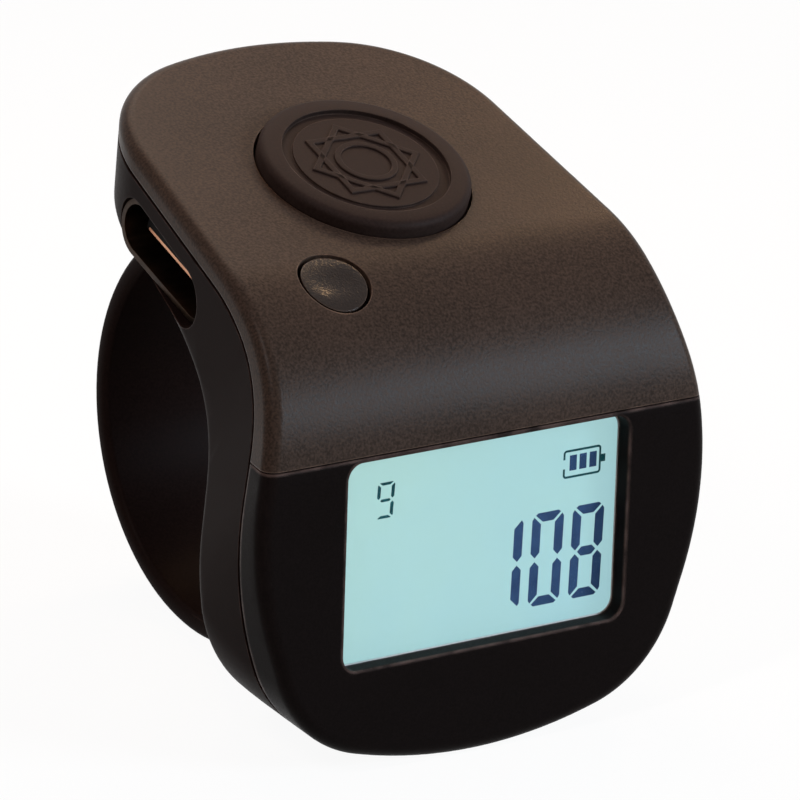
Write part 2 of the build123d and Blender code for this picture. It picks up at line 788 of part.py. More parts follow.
contact_offset = (TONGUE_THICK + CONTACT_THICK) / 2
contact_length = USB_LENGTH - SOCKET_BACK - 2 * TONGUE_RECESS
with BuildPart() as usb_contacts:
    with BuildSketch(usb_plane.offset(2 * TONGUE_RECESS)):
        for side in (-1, 1):
            with Locations((0, side * contact_offset)):
                with GridLocations(CONTACT_PITCH, 0, CONTACT_COUNT, 1):
                    Rectangle(CONTACT_WIDTH, CONTACT_THICK)
    extrude(amount=contact_length)
usb_contacts.part.label = "usb_contacts"
export_step(usb_contacts.part, "parts/usb_contacts.step")

# Battery across the bend, beside the board's tab, on a foam tape over the ring wall
tape_low = RING_RADIUS + TAPE_GAP
cell_low = tape_low + TAPE_THICK
cell_left = RESET_X + TAB_WIDTH / 2 + CELL_GAP
with BuildPart() as battery_cell:
    with BuildSketch(MITRE.offset(cell_low)):
        with Locations((cell_left, CELL_ACROSS)):
            Rectangle(CELL_LENGTH, CELL_WIDTH, align=(Align.MIN, Align.CENTER))
    extrude(amount=CELL_THICK)
    fillet(battery_cell.edges().filter_by(Axis.X), CELL_ROUND)
battery_cell.part.label = "battery_cell"
export_step(battery_cell.part, "parts/battery_cell.step")

with BuildPart() as battery_tape:
    with BuildSketch(MITRE.offset(tape_low)):
        with Locations((cell_left, 0)):
            Rectangle(TAPE_LENGTH, TAPE_WIDTH, align=(Align.MIN, Align.CENTER))
    extrude(amount=TAPE_THICK)
battery_tape.part.label = "battery_tape"
export_step(battery_tape.part, "parts/battery_tape.step")

with BuildPart() as battery_leads:
    with BuildSketch(TOP.offset(board_low)):
        with Locations((cell_left - LEAD_LENGTH / 2, (RESET_U + BOARD_FRONT) / 2)):
            with GridLocations(0, LEAD_PITCH, 1, 2):
                Rectangle(LEAD_LENGTH, LEAD_WIDTH)
    extrude(amount=-LEAD_THICK)
battery_leads.part.label = "battery_leads"
export_step(battery_leads.part, "parts/battery_leads.step")

# Ribbon cable from the back of the display board to the underside of the tab
ribbon_reach = display_board_back - RIBBON_THICK / 2
ribbon_level = board_low - RIBBON_THICK / 2
ribbon_turn_v = (ribbon_level - cos(BEND) * ribbon_reach) / sin(BEND)
with BuildPart() as ribbon_cable:
    with BuildSketch(SIDE.offset(-RESET_X)):
        with BuildLine():
            FilletPolyline(
                (ribbon_reach, RIBBON_LOW_V),
                (ribbon_reach, ribbon_turn_v),
                from_top(RIBBON_BACK_U, ribbon_level),
                radius=RIBBON_BEND,
            )
        trace(line_width=RIBBON_THICK)
    extrude(amount=RIBBON_WIDTH / 2, both=True)
ribbon_cable.part.label = "ribbon_cable"
export_step(ribbon_cable.part, "parts/ribbon_cable.step")


def chip(place, size, level, direction):
    """A chip's block on one side of the board."""
    x, inset = place
    length, width, height = size
    with BuildSketch(TOP.offset(level)) as outline:
        with Locations((x, board_back - inset)):
            Rectangle(length, width)
    extrude(outline.sketch, amount=direction * height)


with BuildPart() as controller_chip:
    chip(CONTROLLER_PLACE, CONTROLLER, board_low, -1)
controller_chip.part.label = "controller_chip"
export_step(controller_chip.part, "parts/controller_chip.step")

with BuildPart() as charger_chip:
    chip(CHARGER_PLACE, CHARGER, board_low, -1)
charger_chip.part.label = "charger_chip"
export_step(charger_chip.part, "parts/charger_chip.step")

with BuildPart() as clock_crystal:
    chip(CRYSTAL_PLACE, CRYSTAL, board_low, -1)
clock_crystal.part.label = "clock_crystal"
export_step(clock_crystal.part, "parts/clock_crystal.step")

with BuildPart() as chip_parts:
    for place in CHIP_PLACES:
        chip(place, CHIP_PART, board_top, 1)
chip_parts.part.label = "chip_parts"
export_step(chip_parts.part, "parts/chip_parts.step")
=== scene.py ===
"""Looks of a finger-ring tally counter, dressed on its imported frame.

The frame gives every piece its place. This file adds the display's film and figures, the window's seal,
the ornament on the count button, the plated edge of the charging socket's tongue, a finish for each node,
the studio round the object and the camera.
"""

import json
import logging
import math
from collections.abc import Sequence
from dataclasses import dataclass, field
from enum import Enum
from typing import ClassVar

import bmesh
import bpy
from mathutils import Matrix, Vector


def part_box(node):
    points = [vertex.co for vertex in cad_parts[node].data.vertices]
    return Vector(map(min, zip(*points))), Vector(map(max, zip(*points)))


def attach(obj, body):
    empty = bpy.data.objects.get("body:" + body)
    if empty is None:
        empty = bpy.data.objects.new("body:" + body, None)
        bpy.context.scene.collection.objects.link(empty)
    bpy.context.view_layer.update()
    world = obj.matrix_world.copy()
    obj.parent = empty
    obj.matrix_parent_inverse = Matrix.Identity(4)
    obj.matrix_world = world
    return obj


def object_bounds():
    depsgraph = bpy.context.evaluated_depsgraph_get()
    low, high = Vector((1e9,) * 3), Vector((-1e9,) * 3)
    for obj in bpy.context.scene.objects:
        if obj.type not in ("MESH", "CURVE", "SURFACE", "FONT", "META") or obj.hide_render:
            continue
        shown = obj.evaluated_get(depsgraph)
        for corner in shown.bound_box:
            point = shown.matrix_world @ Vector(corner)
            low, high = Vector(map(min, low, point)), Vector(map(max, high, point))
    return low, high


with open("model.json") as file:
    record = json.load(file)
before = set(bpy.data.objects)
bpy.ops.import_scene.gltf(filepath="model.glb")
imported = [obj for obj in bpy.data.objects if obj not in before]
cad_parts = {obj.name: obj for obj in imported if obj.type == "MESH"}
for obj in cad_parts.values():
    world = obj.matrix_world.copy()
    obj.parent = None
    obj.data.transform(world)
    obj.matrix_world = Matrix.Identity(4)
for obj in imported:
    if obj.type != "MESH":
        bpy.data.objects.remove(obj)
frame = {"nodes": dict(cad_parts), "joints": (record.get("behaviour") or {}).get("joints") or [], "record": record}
CAD_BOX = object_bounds()

MM = 0.001
UNIT = (0, 1)
WELD = 0.0001 * MM
CORNER_STEPS = 6
# Distance between the bands of a wave texture at a scale of one.
WAVE_PERIOD = math.pi / 10
LOG = logging.getLogger("tally_counter")

Colour = tuple[float, float, float, float]
Point = tuple[float, float]
Material = bpy.types.Material
Mesh = bmesh.types.BMesh
Node = bpy.types.Node
Socket = bpy.types.NodeSocket
Tree = bpy.types.NodeTree


def tone(red: float, green: float, blue: float) -> Colour:
    """Colour for a shader from screen values of 0 to 255, along the standard screen curve.

    Args:
        red: Red on screen.
        green: Green on screen.
        blue: Blue on screen.

    Returns:
        The linear colour with full alpha.
    """
    linear = []
    for value in (red, green, blue):
        share = value / 255
        linear.append(share / 12.92 if share <= 0.04045 else ((share + 0.055) / 1.055) ** 2.4)
    return (linear[0], linear[1], linear[2], 1.0)


def press_axis(joint_name: str) -> Vector:
    """Direction in which the named button of the frame is pressed."""
    joint = next(item for item in frame["joints"] if item["name"] == joint_name)
    return Vector(joint["axis"]).normalized()


def place(right: Vector, up: Vector, out: Vector, origin: Vector) -> Matrix:
    """Placing matrix of a face.

    Args:
        right: Direction of the face's first axis.
        up: Direction of its second axis.
        out: Direction that it faces.
        origin: Its zero point.

    Returns:
        The matrix that takes points of the face to the frame.
    """
    matrix = Matrix((right, up, out)).transposed().to_4x4()
    matrix.translation = origin
    return matrix


@dataclass(frozen=True)
class CounterFrame:
    """Directions of the counter, which leans back on its ring and its lower front edge.

    The top's normal is the way against the count button's press, and the front's follows from the bend.
    """

    bend_angle: float = math.radians(68.9)
    right: Vector = field(default_factory=lambda: Vector((1, 0, 0)))
    top: Vector = field(default_factory=lambda: -press_axis("count_press"))

    @property
    def lean(self) -> float:
        """Angle by which the front leans back."""
        return math.atan2(self.top.z, -self.top.y) - self.bend_angle

    @property
    def front(self) -> Vector:
        """Direction that the display faces."""
        return Vector((0, -math.cos(self.lean), math.sin(self.lean)))

    @property
    def front_up(self) -> Vector:
        """Direction up the display."""
        return self.front.cross(self.right)

    def reach(self, node: str, normal: Vector) -> float:
        """Farthest distance of a node along a normal.

        Args:
            node: Name of the node.
            normal: Direction to measure along.

        Returns:
            The distance from the origin in metres.
        """
        return max(vertex.co.dot(normal) for vertex in frame["nodes"][node].data.vertices)

    def on_top(self, distance: float) -> Matrix:
        """Face parallel to the top at a distance from the origin."""
        return place(self.right, self.top.cross(self.right), self.top, self.top * distance)

    def on_front(self, distance: float) -> Matrix:
        """Face parallel to the display at a distance from the origin."""
        return place(self.right, self.front_up, self.front, self.front * distance)


class Rays(Enum):
    """Kinds of ray that see the white background."""

    CAMERA = "Is Camera Ray"
    GLOSSY = "Is Glossy Ray"
    TRANSMISSION = "Is Transmission Ray"


@dataclass
class NodeBench:
    """Node tree with short calls that add and join its nodes."""

    tree: Tree

    def add(self, kind: str, **settings: object) -> Node:
        """New node of a kind, with its settings.

        Args:
            kind: Blender's name of the node type.
            **settings: Values of the node's own properties.

        Returns:
            The node.
        """
        node = self.tree.nodes.new(kind)
        for name, value in settings.items():
            setattr(node, name, value)
        return node

    def link(self, source: Socket, target: Socket) -> None:
        """Joins an output to an input."""
        self.tree.links.new(source, target)

    def put(self, value: float | Colour | Socket, target: Socket) -> None:
        """Sets an input to a fixed value, or joins a socket to it.

        Args:
            value: The value, or the socket that gives it.
            target: The input.
        """
        if isinstance(value, Socket):
            self.link(value, target)
        else:
            target.default_value = value

    def coords(self) -> Socket:
        """Coordinates of the piece that the material is on."""
        return self.add("ShaderNodeTexCoord").outputs["Object"]

    def noise(self, scale: float | Socket, detail: float, coords: Socket) -> Socket:
        """Noise texture.

        Args:
            scale: Its scale, or the socket that gives it.
            detail: Its detail.
            coords: Socket of the coordinates.

        Returns:
            The socket of the noise.
        """
        node = self.add("ShaderNodeTexNoise")
        self.put(scale, node.inputs["Scale"])
        node.inputs["Detail"].default_value = detail
        self.link(coords, node.inputs["Vector"])
        return node.outputs["Fac"]

    def span(self, value: Socket, source: Point, target: Point) -> Socket:
        """Value mapped from one range to another.

        Args:
            value: Socket that gives the value.
            source: Range that it has.
            target: Range that it gets.

        Returns:
            The socket of the mapped value.
        """
        node = self.add("ShaderNodeMapRange")
        for name, number in zip(("From Min", "From Max", "To Min", "To Max"), source + target):
            node.inputs[name].default_value = number
        self.link(value, node.inputs["Value"])
        return node.outputs["Result"]

    def weigh(self, value: Socket, share: float, rest: Socket, clamp: bool = True) -> Socket:
        """Share of a value, added to another value.

        Args:
            value: Socket of the value that is weighed.
            share: Its share.
            rest: Socket of the value that it is added to.
            clamp: Whether the sum stays between nought and one.

        Returns:
            The socket of the sum.
        """
        node = self.add("ShaderNodeMath", operation="MULTIPLY_ADD", use_clamp=clamp)
        self.link(value, node.inputs[0])
        node.inputs[1].default_value = share
        self.link(rest, node.inputs[2])
        return node.outputs["Value"]

    def blend(self, share: Socket, low: Colour | Socket, high: Colour) -> Socket:
        """Colour between two colours.

        Args:
            share: Socket of the share of the second colour.
            low: First colour, or the socket that gives it.
            high: Second colour.

        Returns:
            The socket of the mixed colour.
        """
        node = self.add("ShaderNodeMix", data_type="RGBA")
        self.link(share, node.inputs["Factor"])
        first, second = (socket for socket in node.inputs if socket.type == "RGBA")
        self.put(low, first)
        second.default_value = high
        return next(socket for socket in node.outputs if socket.type == "RGBA")

    def group(self, tree: Tree, **values: float) -> Node:
        """Node of a shared group, with its values set.

        Args:
            tree: The group.
            **values: Values of its inputs.

        Returns:
            The group's node.
        """
        node = self.add("ShaderNodeGroup", node_tree=tree)
        for name, value in values.items():
            node.inputs[name].default_value = value
        return node

    def relief(self, height: Socket, depth: float, edge_width: float, samples: int) -> Socket:
        """Normal of a fine relief over softly rounded edges.

        Args:
            height: Socket of the relief's height.
            depth: Depth of the relief in metres.
            edge_width: Radius of the edges in metres.
            samples: Number of rays that find the edges.

        Returns:
            The socket of the normal.
        """
        rounded = self.add("ShaderNodeBevel", samples=samples)
        rounded.inputs["Radius"].default_value = edge_width
        bump = self.add("ShaderNodeBump")
        bump.inputs["Strength"].default_value = 1.0
        bump.inputs["Distance"].default_value = depth
        self.link(height, bump.inputs["Height"])
        self.link(rounded.outputs["Normal"], bump.inputs["Normal"])
        return bump.outputs["Normal"]


class Effects:
    """Shader node groups that several finishes share, each built once."""

    grain_detail: float = 2.5
    cell_share: float = 0.6
    fleck_span: Point = (0.35, 0.65)
    mottle_detail: float = 4
    mottle_span: Point = (0.3, 0.7)
    edge_samples: int = 4
    edge_turn: Point = (0.995, 0.9)
    break_scale: float = 900
    break_detail: float = 3
    break_span: Point = (0.35, 0.65)
    break_share: Point = (0.2, 1)

    def __init__(self) -> None:
        """Builds the groups."""
        self.grain = self._spark_grain()
        self.mottle = self._soft_mottle()
        self.edge = self._edge_wear_and_highlight()

    @staticmethod
    def _new(name: str, value: str, results: Sequence[str]) -> tuple[NodeBench, Socket, Node]:
        """Empty group that takes one number and puts some out.

        Args:
            name: Name of the group.
            value: Name of its input.
            results: Names of its outputs.

        Returns:
            A bench for the group's nodes, the socket of the number and the node that takes the results.
        """
        tree = bpy.data.node_groups.new(name, "ShaderNodeTree")
        tree.interface.new_socket(value, in_out="INPUT", socket_type="NodeSocketFloat")
        for result in results:
            tree.interface.new_socket(result, in_out="OUTPUT", socket_type="NodeSocketFloat")
        bench = NodeBench(tree)
        return bench, bench.add("NodeGroupInput").outputs[value], bench.add("NodeGroupOutput")

    def _spark_grain(self) -> Tree:
        """Fine moulded texture: a height for bump and a fleck for colour and gloss.

        Returns:
            The group.
        """
        bench, scale, result = self._new("spark_grain", "Scale", ("Height", "Fleck"))
        coords = bench.coords()
        fine = bench.noise(scale, self.grain_detail, coords)
        cells = bench.add("ShaderNodeTexVoronoi", feature="SMOOTH_F1")
        bench.link(coords, cells.inputs["Vector"])
        bench.link(scale, cells.inputs["Scale"])
        height = bench.weigh(cells.outputs["Distance"], self.cell_share, fine, clamp=False)
        bench.link(height, result.inputs["Height"])
        bench.link(bench.span(fine, self.fleck_span, UNIT), result.inputs["Fleck"])
        return bench.tree

    def _soft_mottle(self) -> Tree:
        """Broad uneven tone over a surface.

        Returns:
            The group.
        """
        bench, scale, result = self._new("soft_mottle", "Scale", ("Mask",))
        broad = bench.noise(scale, self.mottle_detail, bench.coords())
        bench.link(bench.span(broad, self.mottle_span, UNIT), result.inputs["Mask"])
        return bench.tree

    def _edge_wear_and_highlight(self) -> Tree:
        """Mask of the edges, broken up along their length, for their worn glossy coat and a painted highlight.

        Returns:
            The group.
        """
        bench, width, result = self._new("edge_wear_and_highlight", "Width", ("Mask",))
        rounded = bench.add("ShaderNodeBevel", samples=self.edge_samples)
        bench.link(width, rounded.inputs["Radius"])
        turn = bench.add("ShaderNodeVectorMath", operation="DOT_PRODUCT")
        bench.link(rounded.outputs["Normal"], turn.inputs[0])
        bench.link(bench.add("ShaderNodeNewGeometry").outputs["Normal"], turn.inputs[1])
        edge = bench.span(turn.outputs["Value"], self.edge_turn, UNIT)
        breaks = bench.noise(self.break_scale, self.break_detail, bench.coords())
        edge_mask = bench.add("ShaderNodeMath", operation="MULTIPLY")
        bench.link(edge, edge_mask.inputs[0])
        bench.link(bench.span(breaks, self.break_span, self.break_share), edge_mask.inputs[1])
        bench.link(edge_mask.outputs["Value"], result.inputs["Mask"])
        return bench.tree


class MaterialBench(NodeBench):
    """Bench of a new material, with short calls that set its Principled shader."""

    def __init__(self, name: str, effects: Effects) -> None:
        """Starts the material.

        Args:
            name: Name of the material.
            effects: Shared node groups.
        """
        self.material = bpy.data.materials.new(name)
        self.material.use_nodes = True
        super().__init__(self.material.node_tree)
        self.inputs = self.tree.nodes["Principled BSDF"].inputs
        self.effects = effects

    def set(self, name: str, value: float | Colour | Socket) -> None:
        """Sets an input of the shader to one value all over, or joins a varying one to it."""
        self.put(value, self.inputs[name])

    def gloss(self, mask: Socket, roughness: Point) -> None:
        """Lets the shader's roughness follow a mask."""
        self.set("Roughness", self.span(mask, UNIT, roughness))

    def grain(self, scale: float) -> Node:
        """Node of the shared moulded grain."""
        return self.group(self.effects.grain, Scale=scale)

    def mottle(self, scale: float) -> Socket:
        """Mask of the shared broad mottle."""
        return self.group(self.effects.mottle, Scale=scale).outputs["Mask"]

    def edge_wear_and_highlight(self, width: float) -> Socket:
        """Mask of the edges, for their worn glossy coat and a painted highlight."""
        return self.group(self.effects.edge, Width=width).outputs["Mask"]


@dataclass(frozen=True)
class Finish:
    """Finish of a piece, named as its material is."""

    name: str

    def make(self, effects: Effects) -> Material:
        """Material of the finish.

        Args:
            effects: Shared node groups.

        Returns:
            The material.
        """
        bench = MaterialBench(self.name, effects)
        self.lay(bench)
        return bench.material

    def lay(self, bench: MaterialBench) -> None:
        """Lays the nodes of the material, as each kind of finish does in its own way."""
        raise NotImplementedError


@dataclass(frozen=True)
class Plastic(Finish):
    """Moulded plastic or rubber: two tones, a fine moulded grain, and softly polished edges with a painted
    highlight.
    """

    deep: Colour
    pale: Colour
    roughness: Point = (0.45, 0.6)
    specular: float = 0.3
    grain: float = 8000
    depth: float = 0.006 * MM
    mottle: float = 160
    edge_width: float = 0.1 * MM
    edge_highlight_tone: Colour | None = None
    polish: float = 0.0

    fleck_share: ClassVar[float] = 0.75
    mottle_share: ClassVar[float] = 0.25
    polish_roughness: ClassVar[float] = 0.2
    edge_samples: ClassVar[int] = 6

    def lay(self, bench: MaterialBench) -> None:
        """Lays the nodes of the material.

        Args:
            bench: Bench of the material.
        """
        grain = bench.grain(self.grain)
        fleck = grain.outputs["Fleck"]
        broad = bench.span(bench.mottle(self.mottle), UNIT, (0, self.mottle_share))
        colour = bench.blend(bench.weigh(fleck, self.fleck_share, broad), self.deep, self.pale)
        # A lighter colour along the edges is a painted highlight; the coat on them is a real gloss.
        if self.edge_highlight_tone:
            edge_mask = bench.edge_wear_and_highlight(self.edge_width)
            colour = bench.blend(edge_mask, colour, self.edge_highlight_tone)
            if self.polish:
                bench.set("Coat Weight", bench.span(edge_mask, UNIT, (0, self.polish)))
                bench.set("Coat Roughness", self.polish_roughness)
        bench.set("Base Color", colour)
        bench.gloss(fleck, self.roughness)
        height = grain.outputs["Height"]
        bench.set("Normal", bench.relief(height, self.depth, self.edge_width, self.edge_samples))
        bench.set("Specular IOR Level", self.specular)


@dataclass(frozen=True)
class Metal(Finish):
    """Plated or drawn metal with marks along one direction."""

    deep: Colour
    pale: Colour
    roughness: Point = (0.22, 0.4)
    marks: tuple[float, float, float] = (300, 4000, 4000)
    depth: float = 0.002 * MM
    mottle: float = 500
    edge_width: float = 0.05 * MM

    mark_detail: ClassVar[float] = 3
    mark_span: ClassVar[Point] = (0.3, 0.7)
    edge_samples: ClassVar[int] = 4

    def lay(self, bench: MaterialBench) -> None:
        """Lays the nodes of the material.

        Args:
            bench: Bench of the material.
        """
        stretch = bench.add("ShaderNodeMapping")
        stretch.inputs["Scale"].default_value = self.marks
        bench.link(bench.coords(), stretch.inputs["Vector"])
        lines = bench.noise(1, self.mark_detail, stretch.outputs["Vector"])
        bench.set("Base Color", bench.blend(bench.mottle(self.mottle), self.deep, self.pale))
        bench.set("Roughness", bench.span(lines, self.mark_span, self.roughness))
        bench.set("Normal", bench.relief(lines, self.depth, self.edge_width, self.edge_samples))
        bench.set("Metallic", 1.0)


@dataclass(frozen=True)
class Layers(Finish):
    """Film or rubber built up in fine stripes, such as a ribbon's tracks or a contact strip."""

    deep: Colour
    pale: Colour
    pitch: float
    roughness: Point = (0.3, 0.45)
    grain: float = 9000

    stripe_span: ClassVar[Point] = (0.35, 0.65)

    def lay(self, bench: MaterialBench) -> None:
        """Lays the nodes of the material.

        Args:
            bench: Bench of the material.
        """
        stripes = bench.add("ShaderNodeTexWave", bands_direction="X")
        stripes.inputs["Scale"].default_value = WAVE_PERIOD / self.pitch
        bench.link(bench.coords(), stripes.inputs["Vector"])
        share = bench.span(stripes.outputs["Fac"], self.stripe_span, UNIT)
        bench.set("Base Color", bench.blend(share, self.deep, self.pale))
        bench.gloss(bench.grain(self.grain).outputs["Fleck"], self.roughness)


@dataclass(frozen=True)
class SolderMask(Finish):
    """Printed board: a lacquer over copper tracks."""

    lacquer: Colour
    track: Colour
    track_scale: float = 400
    track_width: float = 0.035
    roughness: Point = (0.25, 0.4)
    grain: float = 7000

    def lay(self, bench: MaterialBench) -> None:
        """Lays the nodes of the material.

        Args:
            bench: Bench of the material.
        """
        tracks = bench.add("ShaderNodeTexBrick")
        tracks.inputs["Scale"].default_value = self.track_scale
        tracks.inputs["Mortar Size"].default_value = self.track_width
        bench.link(bench.coords(), tracks.inputs["Vector"])
        bench.set("Base Color", bench.blend(tracks.outputs["Fac"], self.lacquer, self.track))
        bench.gloss(bench.grain(self.grain).outputs["Fleck"], self.roughness)


@dataclass(frozen=True)
class ClearPlate(Finish):
    """Clear window plate with a faint handling haze."""

    tint: Colour
    ior: float = 1.08
    haze: float = 0.04
    mottle: float = 260

    def lay(self, bench: MaterialBench) -> None:
        """Lays the nodes of the material.

        Args:
            bench: Bench of the material.
        """
        bench.gloss(bench.mottle(self.mottle), (0, self.haze))
        bench.set("Base Color", self.tint)
        bench.set("Transmission Weight", 1.0)
        bench.set("IOR", self.ior)


@dataclass(frozen=True)
class Backlit(Finish):
    """Film lit from behind, greener at the upper left, bluer at the lower right, finely grained: its glow stands
    for the backlight and is also painted light, in place of the lamp light that the window and the opening's rim
    keep off.
    """

    green: Colour
    blue: Colour
    unlit: Colour
    glow: float
    middle: Vector
    across: Vector
    half_width: float
    shift: float = 0.8
    uneven: float = 0.25
    mottle: float = 220
    roughness: Point = (0.5, 0.7)
    grain: float = 6000
    specular: float = 0.1

    def lay(self, bench: MaterialBench) -> None:
        """Lays the nodes of the material.

        Args:
            bench: Bench of the material.
        """
        away = bench.add("ShaderNodeVectorMath", operation="SUBTRACT")
        away.inputs[1].default_value = self.middle
        bench.link(bench.coords(), away.inputs[0])
        along = bench.add("ShaderNodeVectorMath", operation="DOT_PRODUCT")
        along.inputs[1].default_value = self.across
        bench.link(away.outputs["Vector"], along.inputs[0])
        share = bench.span(along.outputs["Value"], (-self.half_width, self.half_width), (0, self.shift))
        mixed = bench.weigh(bench.mottle(self.mottle), self.uneven, share)
        # Backlight and painted light together: the glow keeps the film bright whatever light the window lets
        # through.
        bench.set("Emission Color", bench.blend(mixed, self.green, self.blue))
        bench.set("Emission Strength", self.glow)
        bench.set("Base Color", self.unlit)
        bench.gloss(bench.grain(self.grain).outputs["Fleck"], self.roughness)
        bench.set("Specular IOR Level", self.specular)


@dataclass(frozen=True)
class Ink(Finish):
    """Dark figures of the display, a little uneven as switched liquid crystal is, with a faint glow of painted
    light.
    """

    deep: Colour
    pale: Colour
    glow: float = 0.35
    mottle: float = 1500
    roughness: Point = (0.6, 0.75)
    specular: float = 0.1

    def lay(self, bench: MaterialBench) -> None:
        """Lays the nodes of the material.

        Args:
            bench: Bench of the material.
        """
        mottle = bench.mottle(self.mottle)
        colour = bench.blend(mottle, self.deep, self.pale)
        bench.set("Base Color", colour)
        # The glow is painted light: it keeps the figures' colour behind the window whatever lamps fall on them.
        bench.set("Emission Color", colour)
        bench.set("Emission Strength", self.glow)
        bench.gloss(mottle, self.roughness)
        bench.set("Specular IOR Level", self.specular)


class Smoothing:
    """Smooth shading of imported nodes: loose triangles are joined, and edges past a limit stay crisp."""

    limit: float = math.radians(24)
    weld: float = 0.0005 * MM

    def __init__(self) -> None:
        """Builds the group of geometry nodes."""
        self.tree = bpy.data.node_groups.new("smooth_by_angle", "GeometryNodeTree")
        for side in ("INPUT", "OUTPUT"):
            self.tree.interface.new_socket("Geometry", in_out=side, socket_type="NodeSocketGeometry")
        bench = NodeBench(self.tree)
        merge = bench.add("GeometryNodeMergeByDistance")
        merge.inputs["Distance"].default_value = self.weld
        faces = bench.add("GeometryNodeSetShadeSmooth", domain="FACE")
        edges = bench.add("GeometryNodeSetShadeSmooth", domain="EDGE")
        angle = bench.add("GeometryNodeInputMeshEdgeAngle").outputs["Unsigned Angle"]
        below = bench.add("FunctionNodeCompare", data_type="FLOAT", operation="LESS_THAN")
        below.inputs["B"].default_value = self.limit
        bench.link(bench.add("NodeGroupInput").outputs["Geometry"], merge.inputs["Geometry"])
        bench.link(merge.outputs["Geometry"], faces.inputs["Geometry"])
        bench.link(faces.outputs["Geometry"], edges.inputs["Geometry"])
        bench.link(angle, below.inputs["A"])
        bench.link(below.outputs["Result"], edges.inputs["Shade Smooth"])
        bench.link(edges.outputs["Geometry"], bench.add("NodeGroupOutput").inputs["Geometry"])

    def apply(self, node: bpy.types.Object) -> None:
        """Puts the smoothing on a node.

        Args:
            node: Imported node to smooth.
        """
        modifier = node.modifiers.new("smooth_by_angle", "NODES")
        modifier.node_group = self.tree
        weighted = node.modifiers.new("flat_faces", "WEIGHTED_NORMAL")
        weighted.keep_sharp = True


def add_piece(name: str, mesh: Mesh, where: Matrix, material: Material, body: str) -> None:
    """Adds a finished piece of the object, placed in its mesh.

    Args:
        name: Name of the piece.
        mesh: Its mesh on its own face, freed here.
        where: Placing matrix of that face.
        material: Its finish.
        body: Body that it rides on.
    """
    mesh.transform(where)
    bmesh.ops.remove_doubles(mesh, verts=mesh.verts, dist=WELD)
    bmesh.ops.recalc_face_normals(mesh, faces=mesh.faces)
    data = bpy.data.meshes.new(name)
    mesh.to_mesh(data)
    mesh.free()
    piece = bpy.data.objects.new(name, data)
    bpy.context.scene.collection.objects.link(piece)
    data.materials.append(material)
    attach(piece, body)
    LOG.info("piece %s: %d faces on %s", name, len(data.polygons), body)


def raise_faces(mesh: Mesh, height: float) -> None:
    """Extrudes every face of a flat mesh upwards into a closed solid.

    Args:
        mesh: Flat mesh to raise.
        height: Height in metres.
    """
    raised = bmesh.ops.extrude_face_region(mesh, geom=mesh.faces[:], use_keep_orig=True)
    verts = [item for item in raised["geom"] if isinstance(item, bmesh.types.BMVert)]
    bmesh.ops.translate(mesh, vec=(0, 0, height), verts=verts)


def hollow_out(mesh: Mesh, stroke: float) -> None:
    """Leaves only a band of even width along the edge of a flat mesh.

    Args:
        mesh: Flat mesh of one face.
        stroke: Width of the band in metres.
    """
    whole = mesh.faces[:]
    bmesh.ops.inset_region(mesh, faces=whole, thickness=stroke, use_boundary=True, use_even_offset=True)
    bmesh.ops.delete(mesh, geom=whole, context="FACES")


def rounded_plate(mesh: Mesh, low: Point, high: Point, corner: float) -> None:
    """Flat rectangle with round corners.

    Args:
        mesh: Mesh to add it to.
        low: Lower left corner in millimetres.
        high: Upper right corner in millimetres.
        corner: Radius of the corners in millimetres.
    """
    verts = bmesh.ops.create_grid(mesh, x_segments=1, y_segments=1, size=0.5)["verts"]
    scale = Matrix.Diagonal(((high[0] - low[0]) * MM, (high[1] - low[1]) * MM, 1, 1))
    middle = Vector(((low[0] + high[0]) / 2 * MM, (low[1] + high[1]) / 2 * MM, 0))
    bmesh.ops.transform(mesh, matrix=Matrix.Translation(middle) @ scale, verts=verts)
    bmesh.ops.bevel(
        mesh, geom=verts, offset=corner * MM, segments=CORNER_STEPS,
        profile=0.5, affect="VERTICES", material=-1,
    )


